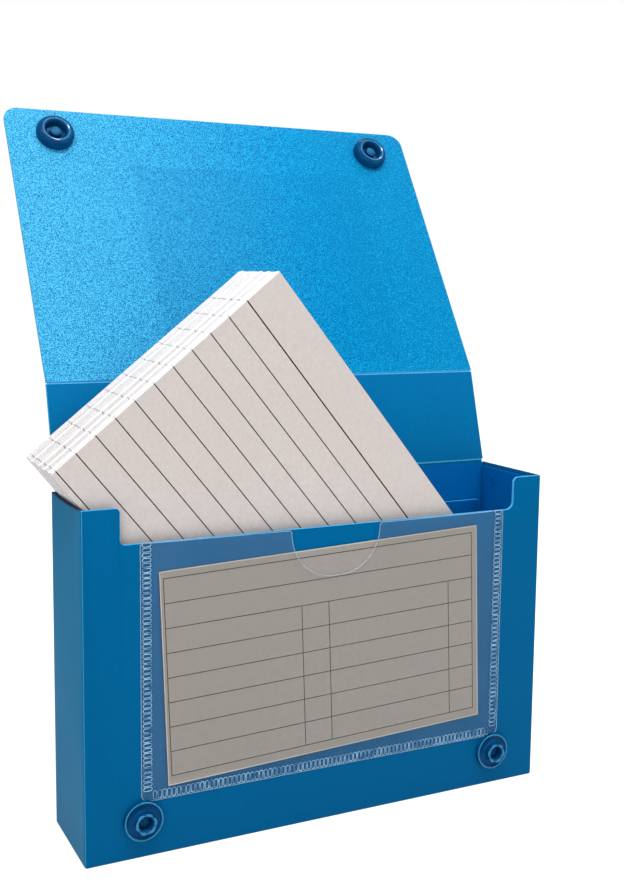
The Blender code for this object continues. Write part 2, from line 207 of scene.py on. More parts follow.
flap_sheet, flap_shader = new_material("flap_sheet", 0.42, IOR=1.49, Specular_IOR_Level=0.03)
place = add_node(flap_sheet, "ShaderNodeTexCoord").outputs["Object"]
from_crease = add_node(
    flap_sheet, "ShaderNodeVectorMath", {"operation": "SUBTRACT"}, i0=place, i1=tuple(FRONT_CREASE)
).outputs[0]
along = add_node(
    flap_sheet, "ShaderNodeVectorMath", {"operation": "DOT_PRODUCT"},
    i0=from_crease, i1=(0, sin(FLAP_LEAN), cos(FLAP_LEAN)),
).outputs["Value"]
across = add_node(flap_sheet, "ShaderNodeSeparateXYZ", Vector=place).outputs["X"]
dark_patch = add_node(
    flap_sheet, "ShaderNodeMath", {"operation": "MULTIPLY"},
    i0=soft_band(flap_sheet, along, 4 * MM, 71.5 * MM, 0.9 * MM),
    i1=soft_band(flap_sheet, across, -31 * MM, 44.6 * MM, 0.9 * MM),
).outputs[0]
grain = noise(flap_sheet, 4000, 0.0)
# A painted sheen: the flap is painted lighter towards its left side.
painted_sheen = add_node(flap_sheet, "ShaderNodeMapRange", {"interpolation_type": "SMOOTHSTEP"}, Value=across)
painted_sheen.inputs["From Min"].default_value = 30 * MM
painted_sheen.inputs["From Max"].default_value = -75 * MM
grain_share = spread(flap_sheet, grain, 0.0, 1.0, 0.455, 0.545)
sparkle = spread(flap_sheet, grain, 0.0, 1.0, 0.59, 0.69)
pebbled = add_node(flap_sheet, "ShaderNodeMapRange", {"interpolation_type": "SMOOTHSTEP"}, Value=across)
pebbled.inputs["From Min"].default_value = 48 * MM
pebbled.inputs["From Max"].default_value = 12 * MM
# The flap's tones are painted lighter than the case sheet, painted light for a single sheet lit from behind.
mid_tone = blend_colours(flap_sheet, grain_share, linear(0, 90, 144), linear(9, 168, 227))
sheen_tone = blend_colours(flap_sheet, grain_share, linear(32, 120, 175), linear(84, 197, 241))
tone = blend_colours(flap_sheet, painted_sheen.outputs["Result"], mid_tone, sheen_tone)
smooth_tone = blend_colours(flap_sheet, sparkle, linear(0, 119, 172), linear(30, 176, 234))
tone = blend_colours(flap_sheet, pebbled.outputs["Result"], smooth_tone, tone)
dark_patch_share = add_node(flap_sheet, "ShaderNodeMath", {"operation": "MULTIPLY"}, i0=dark_patch, i1=0.18)
tone = blend_colours(flap_sheet, dark_patch_share.outputs[0], tone, linear(0, 104, 162))
flap_sheet.node_tree.links.new(tone, flap_shader.inputs["Base Color"])
flap_sheet.node_tree.links.new(
    spread(flap_sheet, noise(flap_sheet, 22), 0.38, 0.46), flap_shader.inputs["Roughness"]
)
add_bump(flap_sheet, flap_shader, noise(flap_sheet, 3400, 1.0, 0.6), 0.9, 0.1 * MM)


# %% [markdown]
# The snaps are injection moulded in a darker blue, smooth enough to hold a sharp highlight.
# A weak noise in the roughness and bump gives them the slight flow marks of a small moulding.

# %% Moulded snap plastic
snap_plastic, snap_shader = new_material("snap_plastic", 0.16, IOR=1.5, Specular_IOR_Level=0.05)
flow = noise(snap_plastic, 260, 2.0)
snap_plastic.node_tree.links.new(
    blend_colours(snap_plastic, spread(snap_plastic, flow, 0.0, 1.0), linear(0, 58, 102), linear(0, 74, 122)),
    snap_shader.inputs["Base Color"],
)
snap_plastic.node_tree.links.new(spread(snap_plastic, flow, 0.13, 0.19), snap_shader.inputs["Roughness"])
add_bump(snap_plastic, snap_shader, flow, 0.12, 0.1 * MM)
# Crests of the studs are painted a lighter blue, a painted highlight.
snap_crest_highlight = sheet_finish("snap_crest_highlight", (16, 108, 156), (40, 136, 182), 0.14, 0.1, 0.28)
# The top of each socket pin is painted a lighter blue than the snap, a painted highlight.
pin_top_highlight = sheet_finish("pin_top_highlight", (0, 80, 124), (16, 100, 146), 0.35, 0.2, 0.1)
# A band round each socket's crest is painted a lighter blue, a painted highlight, on a glossier finish that
# also catches the lamps.
socket_crest_highlight = sheet_finish("socket_crest_highlight", (6, 100, 152), (30, 130, 182), 0.11, 0.1, 0.6)


# %% [markdown]
# The pocket is clear film, a little hazy, so it greys what lies behind it. Alpha lets the label
# show through and is set on the shader itself. The welds are the same film, painted from dark blue to near
# white at random, the pale tones a painted highlight, and the cut edge of the film has a painted highlight
# along its length.

# %% Clear film, welds and film edge
def film_finish(name, dark, light, alpha, roughness, scale=60):
    material, shader = new_material(name, roughness, Alpha=alpha, IOR=1.45, Specular_IOR_Level=0.15)
    haze = noise(material, scale, 3.0)
    tone = blend_colours(material, spread(material, haze, 0.0, 1.0), linear(*dark), linear(*light))
    material.node_tree.links.new(tone, shader.inputs["Base Color"])
    add_bump(material, shader, haze, 0.08, 0.2 * MM)
    return material


clear_film = film_finish("clear_film", (154, 150, 140), (166, 162, 152), 0.05, 0.3)
# The film's cut edge is a pale, denser film, a painted highlight.
film_edge_highlight = film_finish("film_edge_highlight", (186, 214, 230), (204, 226, 236), 0.28, 0.3)
# Weld lips: dark blue to near white at random, the pale tones a painted highlight.
weld_glint_film = film_finish("weld_glint_film", (36, 106, 160), (172, 218, 244), 1.0, 0.32, 420)


# %% [markdown]
# Paper is matt, with short fibres that break its colour up a little. The ruled lines are
# their own flush faces with an ink material, so they stay crisp at any distance.

# %% Paper and inks
def paper_finish(name, dark, light, roughness=0.72):
    material, shader = new_material(name, roughness)
    shader.inputs["Specular IOR Level"].default_value = 0.25
    fibres = noise(material, 900, 3.0, 0.65)
    clouds = noise(material, 30, 2.0)
    tone = blend_colours(material, spread(material, fibres, 0.0, 1.0), linear(*dark), linear(*light))
    tone = blend_colours(material, spread(material, clouds, 0.0, 0.4), tone, linear(*dark))
    material.node_tree.links.new(tone, shader.inputs["Base Color"])
    add_bump(material, shader, fibres, 0.05, 0.05 * MM)
    return material


card_paper = paper_finish("card_paper", (198, 189, 185), (208, 200, 196))
# The cards' cut edges are painted much whiter than their faces of the same paper, a lit copy for the edges
# that face the lamps.
lit_card_edge_paper = paper_finish("lit_card_edge_paper", (244, 243, 246), (255, 254, 255), 0.8)
blue_ink = paper_finish("blue_ink", (8, 9, 20), (24, 25, 40))
red_ink = paper_finish("red_ink", (22, 0, 4), (72, 2, 12))
label_paper = paper_finish("label_paper", (147, 142, 137), (155, 150, 145))
label_margin = paper_finish("label_margin", (144, 140, 135), (152, 147, 141))
label_edge = paper_finish("label_edge", (188, 182, 172), (202, 196, 188))
form_ink = paper_finish("form_ink", (22, 18, 14), (44, 38, 32))

edge_dot = paper_finish("edge_dot", (10, 12, 30), (34, 36, 64))
print(len(bpy.data.materials), "materials")


# %% [markdown]
# ## Finishing a piece
# Every piece ends the same way: its bmesh becomes an object at the origin, smooth where its faces
# meet at a low angle, rides on its CAD body, and stands for the CAD nodes it replaces.

# %% Helpers for pieces
def finish_piece(name, bm, materials, body, nodes=(), smooth_angle=35):
    mesh = bpy.data.meshes.new(name)
    bm.to_mesh(mesh)
    bm.free()
    mesh.shade_smooth()
    mesh.set_sharp_from_angle(angle=radians(smooth_angle))
    for material in materials:
        mesh.materials.append(material)
    piece = bpy.data.objects.new(name, mesh)
    bpy.context.scene.collection.objects.link(piece)
    if body:
        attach(piece, body)
    if nodes:
        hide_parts(*nodes)
    return piece


def sheet_from_corners(corners, normal_axis="y", segments=10):
    """One flat face through corners given as (across, up, radius), each rounded by a vertex bevel."""
    bm = bmesh.new()
    made = []
    for across, up, radius in corners:
        place = (across, 0, up) if normal_axis == "y" else (0, across, up)
        made.append((bm.verts.new(place), radius))
    bm.faces.new([vert for vert, radius in made])
    for vert, radius in made:
        if radius:
            bmesh.ops.bevel(
                bm, geom=[vert], offset=radius, segments=segments, profile=0.5,
                affect="VERTICES", material=-1,
            )
    bmesh.ops.remove_doubles(bm, verts=bm.verts, dist=0.01 * MM)
    return bm


def thicken(bm, way, edge_material=1, soften=0.12 * MM):
    """Extrudes a sheet along a vector into a plate, and softens the rims with the edge material."""
    fronts = list(bm.faces)
    grown = bmesh.ops.extrude_face_region(bm, geom=fronts)["geom"]
    moved = {item for item in grown if isinstance(item, bmesh.types.BMVert)}
    bmesh.ops.translate(bm, vec=way, verts=list(moved))
    bmesh.ops.recalc_face_normals(bm, faces=bm.faces)
    rims = [f for f in bm.faces if 0 < sum(v in moved for v in f.verts) < len(f.verts)]
    for face in rims:
        face.material_index = edge_material
    if soften:
        borders = {e for f in rims for e in f.edges if any(g not in rims for g in e.link_faces)}
        bmesh.ops.bevel(
            bm, geom=list(borders), offset=soften, segments=2, profile=0.5,
            affect="EDGES", material=edge_material,
        )
    return bm


# %% [markdown]
# ## The folded case
# The case starts as a plain box. Its upright edges and its foot are bevelled to the radius that a
# scored fold takes, the top is deleted, and the middle of the front wall's top is bisected off
# between the two tabs. Rounding the four corners of that cut as a vertex bevel, while
# the wall is still one sheet, gives true arcs. Solidify then gives the sheet its thickness.

# %% Case walls
FOLD = 0.7 * MM
FOOT_FOLD = 0.6 * MM
SIDE_SAG = 0.6 * MM


def faces_where(bm, test):
    bm.normal_update()
    return [face for face in bm.faces if test(face.calc_center_median(), face.normal)]


def edges_where(bm, test):
    return [edge for edge in bm.edges if test(*(vert.co for vert in edge.verts))]


def bisect_faces(bm, faces, place, normal):
    geom = list({item for face in faces for item in (face, *face.edges, *face.verts)})
    bmesh.ops.bisect_plane(bm, geom=geom, dist=1e-7, plane_co=place, plane_no=normal)


case = bmesh.new()
bmesh.ops.create_cube(case, size=1)
bmesh.ops.scale(case, vec=case_high - case_low, verts=case.verts)
bmesh.ops.translate(case, vec=(case_low + case_high) / 2, verts=case.verts)
uprights = edges_where(case, lambda a, b: abs(a.z - b.z) > TOP / 2)
bmesh.ops.bevel(
    case, geom=uprights, offset=FOLD, segments=5, profile=0.5, affect="EDGES", material=-1
)
foot = edges_where(case, lambda a, b: max(a.z, b.z) < 1e-6)
bmesh.ops.bevel(
    case, geom=foot, offset=FOOT_FOLD, segments=3, profile=0.5, affect="EDGES", material=-1
)
lid_face = faces_where(case, lambda middle, normal: normal.z > 0.9)
bmesh.ops.delete(case, geom=lid_face, context="FACES")


def is_front(middle, normal):
    return normal.y < -0.99


for side in (-1, 1):
    bisect_faces(case, faces_where(case, is_front), (side * TAB_EDGE, FRONT, 0), (1, 0, 0))
bisect_faces(case, faces_where(case, is_front), (0, FRONT, CUT_HEIGHT), (0, 0, 1))
gap = faces_where(
    case, lambda m, n: is_front(m, n) and abs(m.x) < TAB_EDGE and m.z > CUT_HEIGHT
)
bmesh.ops.delete(case, geom=gap, context="FACES")
front_faces = set(faces_where(case, is_front))
inner_edges = [e for e in case.edges if len(e.link_faces) == 2 and set(e.link_faces) <= front_faces]
bmesh.ops.dissolve_edges(case, edges=inner_edges, use_verts=False)

corner_radii = {(-1, TOP): 1.2, (-1, CUT_HEIGHT): 1.3, (1, CUT_HEIGHT): 2.2, (1, TOP): 1.7}
for (side, height), radius in corner_radii.items():
    corner = Vector((side * TAB_EDGE, FRONT, height))
    found = [vert for vert in case.verts if (vert.co - corner).length < 1e-5]
    bmesh.ops.bevel(
        case, geom=found, offset=radius * MM, segments=8, profile=0.5, affect="VERTICES", material=-1
    )
print("case sheet has", len(case.faces), "faces before its thickness")

# %% [markdown]
# The left wall isn't backed by the lid's fold, so its top edge dips a little between its ends.
# A few cuts across that wall give the dip its curve.

# %% Dip in the left wall's top edge, and the sheet's thickness
SIDE_CUTS = 9
for step in range(1, SIDE_CUTS):
    depth = FRONT + (BACK - FRONT) * step / SIDE_CUTS
    left_wall = faces_where(case, lambda middle, normal: normal.x < -0.99)
    bisect_faces(case, left_wall, (0, depth, 0), (0, 1, 0))
for vert in case.verts:
    if vert.co.z > TOP - 1e-6 and vert.co.x < -HALF_WIDTH + 1e-5:
        share = (vert.co.y - FRONT) / (BACK - FRONT)
        vert.co.z -= SIDE_SAG * 4 * share * (1 - share)

outside = set(case.verts)
bmesh.ops.recalc_face_normals(case, faces=case.faces)
bmesh.ops.solidify(case, geom=list(case.faces), thickness=SHEET)
rims = [f for f in case.faces if 0 < sum(v in outside for v in f.verts) < len(f.verts)]
for face in rims:
    face.material_index = 1
borders = {e for f in rims for e in f.edges if any(g not in rims for g in e.link_faces)}
bmesh.ops.bevel(
    case, geom=list(borders), offset=0.12 * MM, segments=2, profile=0.5, affect="EDGES", material=1
)
bmesh.ops.recalc_face_normals(case, faces=case.faces)

# %% [markdown]
# The rims of the side walls get a painted shade, dark, while the rims of the front wall get a
# painted highlight, pale. The scored folds get a painted highlight along their middle only.

# %% Painted shade on the side rims and painted highlights on the folds
for face in case.faces:
    middle = face.calc_center_median()
    on_side = abs(middle.x) > HALF_WIDTH - 1.05 * SHEET
    if face.material_index == 1 and on_side and middle.y > FRONT + 1.2 * SHEET:
        face.material_index = 2
    elif face.material_index == 1 and middle.y > BACK - 1.05 * SHEET:
        face.material_index = 0
    # inner face of the back wall: the painted light of the inside
    elif face.normal.y < -0.9 and middle.y > BACK - 1.2 * SHEET:
        face.material_index = 5
    # outer faces of the side walls: the painted sheen
    elif abs(face.normal.x) > 0.9 and abs(middle.x) > HALF_WIDTH - 0.1 * SHEET:
        face.material_index = 4
# the fold faces get the painted highlight
for face in faces_where(case, lambda m, n: abs(n.z) < 0.05 and n.y < -0.6 and abs(n.x) > 0.6):
    if abs(face.calc_center_median().x) > HALF_WIDTH - 1.0 * MM:
        face.material_index = 3
folded_case = finish_piece(
    "folded_case", case, [case_sheet, painted_edge_highlight, shaded_rim, painted_fold_highlight, painted_side_sheen, inner_lit_sheet],
    "case", ["case_shell"],
)
print("folded case box", [tuple(round(v / MM, 2) for v in corner) for corner in folded_case.bound_box][::6])

# %% [markdown]
# ## Inner flaps and back layer
# Two narrow flaps fold in from the back wall and are spot welded to the outer side walls. The welds
# show as small dimples, made here by an inset disc pushed into the face. A second layer
# covers the inside of the back wall and ends below its top, where its rim gets a painted highlight, a light
# line.

# %% Inner side flaps with weld dimples
WELD_SPOT = [(0, 0.02), (0.7, 0.02), (0.95, 0.1), (1.15, 0.14), (1.3, 0.08), (1.35, -0.1), (0, -0.1)]
WELD_HEIGHTS = (85.0 * MM, 48.1 * MM, 11.3 * MM)
WELD_DEPTH_PLACE = 7.05 * MM
FLAP_CORNER = 3.0 * MM


def merge_copy(target, source_mesh, matrix):
    """Adds a copy of a mesh to a bmesh and moves that copy by a matrix."""
    known = set(target.verts)
    target.from_mesh(source_mesh)
    added = [vert for vert in target.verts if vert not in known]
    bmesh.ops.transform(target, matrix=matrix, verts=added)


def spun(profile, closed, steps=48):
    """Spins a profile of (radius, height) in millimetres round the Z axis."""
    bm = bmesh.new()
    verts = [bm.verts.new((radius * MM, 0, height * MM)) for radius, height in profile]
    edges = [bm.edges.new(pair) for pair in zip(verts, verts[1:])]
    if closed:
        edges.append(bm.edges.new((verts[-1], verts[0])))
    bmesh.ops.spin(
        bm, geom=verts + edges, axis=(0, 0, 1), cent=(0, 0, 0), dvec=(0, 0, 0),
        angle=2 * pi, steps=steps, use_merge=True, use_duplicate=False,
    )
    bmesh.ops.remove_doubles(bm, verts=bm.verts, dist=0.005 * MM)
    bmesh.ops.recalc_face_normals(bm, faces=bm.faces)
    return bm


spot = spun(WELD_SPOT, False, 24)
spot_mesh = bpy.data.meshes.new("weld_spot")
spot.to_mesh(spot_mesh)
spot.free()

for name, side in (("left", -1), ("right", 1)):
    low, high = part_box(name + "_side_flap")
    inner_x = high.x if side < 0 else low.x
    outer_x = low.x if side < 0 else high.x
    flap = sheet_from_corners(
        [
            (high.y, low.z, 0),
            (high.y, high.z, 0.8 * MM),
            (low.y, high.z, FLAP_CORNER),
            (low.y, low.z, FLAP_CORNER),
        ],
        normal_axis="x",
    )
    bmesh.ops.translate(flap, vec=(inner_x, 0, 0), verts=flap.verts)
    thicken(flap, (outer_x - inner_x, 0, 0))
    for height in WELD_HEIGHTS:
        spot_place = Matrix.Translation((inner_x, WELD_DEPTH_PLACE, height))
        merge_copy(flap, spot_mesh, spot_place @ Matrix.Rotation(-side * pi / 2, 4, "Y"))
    finish_piece(
        name + "_inner_flap", flap, [inner_lit_sheet, inner_lit_sheet], "case", [name + "_side_flap"]
    )
bpy.data.meshes.remove(spot_mesh)

# %% Layer on the back wall
low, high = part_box("back_liner")
layer = sheet_from_corners(
    [(low.x, low.z, 0), (high.x, low.z, 0), (high.x, high.z, 1.0 * MM), (low.x, high.z, 1.0 * MM)]
)
bmesh.ops.translate(layer, vec=(0, low.y, 0), verts=layer.verts)
thicken(layer, (0, high.y - low.y, 0), soften=0.1 * MM)
finish_piece("back_layer", layer, [inner_lit_sheet, painted_edge_highlight], "case", ["back_liner"])


# %% [markdown]
# ## The lid
# The lid is the same sheet, so it is modelled flat, as it is cut, and then stood up at
# its lean. The flap's far corners are rounded by vertex bevels.

# %% Top panel and flap
def stand_up(bm, crease, lean):
    """Moves a flat panel, drawn from Z = 0 upwards, onto its crease, leaning back."""
    place = Matrix.Translation(crease) @ Matrix.Rotation(-lean, 4, "X")
    bmesh.ops.transform(bm, matrix=place, verts=bm.verts)


HINGE_STEP = 0.36 * MM
CREASE_SHOWN = 0.25 * MM
panel = sheet_from_corners(
    [
        (-LID_HALF, CREASE_SHOWN, 0),
        (LID_HALF, CREASE_SHOWN, 0),
        (LID_HALF, TOP_LENGTH - SHEET / 2 - 0.3 * MM, 0),
        (-LID_HALF, TOP_LENGTH - SHEET / 2 - 0.3 * MM, 0),
    ]
)
bmesh.ops.translate(panel, vec=(0, -SHEET / 2, 0), verts=panel.verts)
thicken(panel, (0, SHEET, 0))
stand_up(panel, BACK_CREASE, top_lean)
finish_piece("lid_top", panel, [lit_top_sheet, painted_edge_highlight], "top_panel", ["top_panel"])

flap = sheet_from_corners(
    [
        (-LID_HALF, -HINGE_STEP, 0),
        (LID_HALF, -HINGE_STEP, 0),
        (LID_HALF, FLAP_LENGTH, 4.5 * MM),
        (-LID_HALF, FLAP_LENGTH, 4.5 * MM),
    ]
)
bmesh.ops.translate(flap, vec=(0, -SHEET / 2, 0), verts=flap.verts)
thicken(flap, (0, SHEET, 0))
stand_up(flap, FRONT_CREASE, FLAP_LEAN)
for face in flap.faces:
    if face.normal.y > 0.5 and face.material_index == 0:
        face.material_index = 2
finish_piece("lid_flap", flap, [flap_sheet, painted_edge_highlight, case_sheet], "flap", ["flap"])


# %% [markdown]
# ## Living hinges
# Each crease is the same sheet pressed thin, and a lighter blue along it is a painted highlight. A thin strip
# runs from one panel across the crease into the next, with its ends inside the panels.

# %% Crease strips
WEB = 0.2 * MM


def crease_strip(name, crease, lean_below, lean_above, lower_finish):
    strip = bmesh.new()
    reach = 1.5 * MM
    below = Vector((0, -sin(lean_below), -cos(lean_below))) * reach
    above = Vector((0, sin(lean_above), cos(lean_above))) * reach
    half = LID_HALF - 0.4 * MM
    path = [crease + below, crease + below / 3, crease, crease + above / 3, crease + above]
    verts = [strip.verts.new(point + Vector((-half, -WEB, 0))) for point in path]
    for first, second in zip(verts, verts[1:]):
        strip.edges.new((first, second))
    grown = bmesh.ops.extrude_edge_only(strip, edges=list(strip.edges))["geom"]
    moved = [item for item in grown if isinstance(item, bmesh.types.BMVert)]
    bmesh.ops.translate(strip, vec=(2 * half, 0, 0), verts=moved)
    thick = bmesh.ops.extrude_face_region(strip, geom=list(strip.faces))["geom"]
    moved = [item for item in thick if isinstance(item, bmesh.types.BMVert)]
    bmesh.ops.translate(strip, vec=(0, 2 * WEB, 0), verts=moved)
    bmesh.ops.recalc_face_normals(strip, faces=strip.faces)
    # the half above the crease gets the painted highlight
    for face in faces_where(strip, lambda middle, normal: middle.z > crease.z):
        face.material_index = 1
    piece = finish_piece(name, strip, [lower_finish, painted_crease_highlight], None, ())
    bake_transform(piece)
    return piece


crease_strip("back_crease_strip", BACK_CREASE, 0, top_lean, case_sheet)
crease_strip(
    "front_crease_strip", FRONT_CREASE, top_lean, FLAP_LEAN, painted_crease_highlight
)


# %% [markdown]
# ## Snaps
# A snap is four small mouldings of revolution. Each one is a profile, spun once round its axis.
# The stud's hollow post was pressed over hot, so its rim is dented into lobes: those
# come from moving the rim's points in and out with the angle.

# %% Spun mouldings
STUD = [
    (1.3, 0.5), (1.8, 0.5), (1.95, 0.7), (1.98, 2.7), (2.1, 3.0), (2.3, 3.16), (2.55, 3.2),
    (2.78, 3.1), (2.88, 2.85), (2.85, 2.6), (2.62, 2.3), (2.58, 1.7), (2.7, 1.1), (2.95, 0.85), (3.3, 0.78),
    (4.1, 0.78), (4.45, 0.85), (4.65, 1.15), (4.8, 1.3), (4.98, 1.3), (5.12, 1.2), (5.2, 1.0),
    (5.2, 0.0), (1.3, 0.0),
]
SOCKET = [
    (3.05, 0.6), (3.1, 1.6), (3.14, 2.3), (3.24, 2.6), (3.44, 2.76), (3.64, 2.84), (3.68, 2.85),
    (4.02, 2.965), (4.06, 2.975), (4.25, 3.0),
    (4.55, 2.96), (4.85, 2.82), (5.2, 2.45), (5.48, 1.8), (5.6, 1.0), (5.6, 0.25), (5.5, 0.0),
    (1.3, 0.0), (1.3, 0.55), (1.4, 0.6),
]


def rivet_shape(seat, rise=0.3):
    low = seat + rise
    return [
        (0, low + 0.75), (0.7, low + 0.72), (1.25, low + 0.62), (1.6, low + 0.42), (1.7, low + 0.15),
        (1.65, seat + 0.3), (1.0, seat + 0.3), (1.0, -0.8), (5.4, -0.8), (5.4, -1.2), (5.15, -1.45),
        (4.5, -1.7), (3.0, -1.9), (0, -2.0),
    ]


def place_snap(bm, name, nodes, body, matrix):
    bmesh.ops.transform(bm, matrix=matrix, verts=bm.verts)
    finish_piece(name, bm, [snap_plastic, snap_crest_highlight, pin_top_highlight, socket_crest_highlight], body, nodes, smooth_angle=50)


STUD_LOBES = 6
front_turn = Matrix.Rotation(pi / 2, 4, "X")
flap_turn = Matrix.Rotation(pi / 2 - FLAP_LEAN, 4, "X")
snap_x = (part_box("right_stud")[0].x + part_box("right_stud")[1].x) / 2
snap_z = (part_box("right_stud")[0].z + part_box("right_stud")[1].z) / 2
socket_reach = BACK_CREASE.z - snap_z
flap_up = Vector((0, sin(FLAP_LEAN), cos(FLAP_LEAN)))
flap_face = Vector((0, -cos(FLAP_LEAN), sin(FLAP_LEAN)))
for name, side in (("left", -1), ("right", 1)):
    on_front = Matrix.Translation((side * snap_x, FRONT, snap_z)) @ front_turn
    stud = spun(STUD, True)
    for vert in stud.verts:
        radius = vert.co.xy.length
        if vert.co.z > 2.4 * MM and radius < 2.95 * MM:
            angle = atan2(vert.co.y, vert.co.x)
            wave = cos(STUD_LOBES * angle + side) + 0.4 * cos(2 * angle + 1)
            dent = 0.12 if radius < 2.2 * MM else 0.05
            vert.co.xy *= 1 - dent * max(0, 1 - wave) * 0.5
            vert.co.z -= 0.22 * MM * max(0, 1 - wave) * 0.5
    # The post's top and the crest of the dish's rim get the painted highlight.
    for face in stud.faces:
        middle = face.calc_center_median()
        on_post = middle.z > 2.95 * MM
        on_rim = middle.z > 1.05 * MM and 4.7 * MM < middle.xy.length < 5.05 * MM
        if on_post or on_rim:
            face.material_index = 1
    place_snap(stud, name + "_stud_dish", [name + "_stud"], "case", on_front)
    place_snap(
        spun(rivet_shape(0.3), False), name + "_stud_pin", [name + "_stud_rivet"], "case", on_front
    )
    place = FRONT_CREASE + flap_up * socket_reach + flap_face * SHEET / 2 + Vector((side * snap_x, 0, 0))
    on_flap = Matrix.Translation(place) @ flap_turn
    socket = spun(SOCKET, True)
    # a band round the crest gets the painted highlight
    for face in socket.faces:
        middle = face.calc_center_median()
        if middle.z > 2.8 * MM and 3.66 * MM < middle.xy.length < 4.04 * MM:
            face.material_index = 3
    place_snap(socket, name + "_socket_ring", [name + "_socket"], "flap", on_flap)
    pin = spun(rivet_shape(0.6, 0.85), False)
    # the pin's top gets the painted highlight
    for face in pin.faces:
        if face.calc_center_median().z > 1.75 * MM:
            face.material_index = 2
    place_snap(pin, name + "_socket_pin", [name + "_socket_rivet"], "flap", on_flap)

# %% [markdown]
# ## The label and its pocket
# The form is a grey card, printed with a frame, seven lines across and three down. The face is cut
# along both sides of each line, and the narrow faces between the cuts get the ink material.
# The card stands a little turned, so it is modelled square and then turned as the real one.

# %% Printed blank form
LABEL_TURN = radians(2.36)
LABEL_W, LABEL_H, LABEL_T = 94.2 * MM, 55.7 * MM, 0.25 * MM
INK = 0.22 * MM
FRAME_LEFT, FRAME_RIGHT = 1.0 * MM, 92.4 * MM
FRAME_TOP, FRAME_BOTTOM = 1.9 * MM, 53.2 * MM
ROWS = 8


def ink_between(bm, axis, centre, width, faces=None):
    """Cuts the faces along both sides of a printed line."""
    for side in (-1, 1):
        place = [0, 0, 0]
        place[axis] = centre + side * width / 2
        normal = [0, 0, 0]
        normal[axis] = 1
        bisect_faces(bm, faces(bm) if faces else list(bm.faces), place, normal)


LIGHT_RIM = 0.24 * MM
row_height = (FRAME_BOTTOM - FRAME_TOP) / ROWS
row_lines = [LABEL_H - FRAME_TOP - row_height * row for row in range(ROWS + 1)]
column_shares = [0.4145, 0.502, 0.9135]
column_lines = [FRAME_LEFT + (FRAME_RIGHT - FRAME_LEFT) * share for share in column_shares]
form = bmesh.new()
bmesh.ops.create_cube(form, size=1)
bmesh.ops.scale(form, vec=(LABEL_W, LABEL_T, LABEL_H), verts=form.verts)
bmesh.ops.translate(form, vec=(LABEL_W / 2, 0, LABEL_H / 2), verts=form.verts)


def printed_faces(bm):
    return faces_where(bm, lambda middle, normal: normal.y < -0.9)


for axis, length in ((0, LABEL_W), (2, LABEL_H)):
    ink_between(form, axis, length / 2, length - 2 * LIGHT_RIM, printed_faces)

for height in row_lines:
    ink_between(form, 2, height, INK, printed_faces)
for across in column_lines + [FRAME_LEFT, FRAME_RIGHT]:
    ink_between(form, 0, across, INK, printed_faces)
for face in printed_faces(form):
    middle = face.calc_center_median()
    inside = (
        FRAME_LEFT - INK < middle.x < FRAME_RIGHT + INK
        and row_lines[-1] - INK < middle.z < row_lines[0] + INK
    )
    on_row = any(abs(middle.z - height) < INK / 2 for height in row_lines)
    on_frame = any(abs(middle.x - across) < INK / 2 for across in (FRAME_LEFT, FRAME_RIGHT))
    on_column = middle.z < row_lines[2] and any(abs(middle.x - a) < INK / 2 for a in column_lines)
    if inside and (on_row or on_frame or on_column):
        face.material_index = 2
    elif inside:
        face.material_index = 0
    elif (
        abs(middle.x - LABEL_W / 2) > LABEL_W / 2 - LIGHT_RIM
        or abs(middle.z - LABEL_H / 2) > LABEL_H / 2 - LIGHT_RIM
    ):
        face.material_index = 3
    else:
        face.material_index = 1
label_low, label_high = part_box("label_card")
label_middle = (label_low + label_high) / 2
turn = Matrix.Rotation(-LABEL_TURN, 4, "Y") @ Matrix.Translation((-LABEL_W / 2, 0, -LABEL_H / 2))
bmesh.ops.transform(form, matrix=Matrix.Translation(label_middle) @ turn, verts=form.verts)
finish_piece(
    "printed_form", form, [label_paper, label_margin, form_ink, label_edge], "label_card",
    ["label_card"],
)

# %% [markdown]
# The pocket is one sheet of film. Its outline, with the half-round thumb notch, is a face whose
# corners are rounded by vertex bevels. Cuts beside the three seams let the film rise
# from the welds over the card, as it does over something that it holds.

# %% Pocket film
pocket_low, pocket_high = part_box("label_pocket")
SEAM = 3.0 * MM
NOTCH = 13.1 * MM
notch_x = (pocket_low.x + pocket_high.x) / 2
film_corners = [
    (pocket_low.x, pocket_low.z, 2.0 * MM),
    (pocket_high.x, pocket_low.z, 2.0 * MM),
    (pocket_high.x, CUT_HEIGHT, 0.8 * MM),
    (notch_x + NOTCH, CUT_HEIGHT, 0.9 * MM),
    (notch_x + NOTCH, CUT_HEIGHT - NOTCH, NOTCH - 1.0 * MM),
    (notch_x - NOTCH, CUT_HEIGHT - NOTCH, NOTCH - 1.0 * MM),
    (notch_x - NOTCH, CUT_HEIGHT, 0.9 * MM),
    (pocket_low.x, CUT_HEIGHT, 0.8 * MM),
]
film = sheet_from_corners(film_corners, segments=16)
bead = film.copy()
RISE_STEPS = (0.0, 0.5, 1.0, 1.6, 2.3, 3.0)
rise_end = RISE_STEPS[-1] * MM
for step in RISE_STEPS:
    inset = SEAM + step * MM
    bisect_faces(film, list(film.faces), (pocket_low.x + inset, 0, 0), (1, 0, 0))
    bisect_faces(film, list(film.faces), (pocket_high.x - inset, 0, 0), (1, 0, 0))
    bisect_faces(film, list(film.faces), (0, 0, pocket_low.z + inset), (0, 0, 1))
FILM = 0.16 * MM
seat = FRONT - 0.03 * MM
swell = seat - (pocket_low.y + FILM)
for vert in film.verts:
    from_seam = min(
        vert.co.x - pocket_low.x - SEAM, pocket_high.x - SEAM - vert.co.x, vert.co.z - pocket_low.z - SEAM
    )
    share = min(max(from_seam / rise_end, 0), 1)
    vert.co.y = seat - swell * share * share * (3 - 2 * share)
thicken(film, (0, -FILM, 0), soften=0)
finish_piece(
    "pocket_film", film, [clear_film, film_edge_highlight], "case", ["label_pocket"]
)

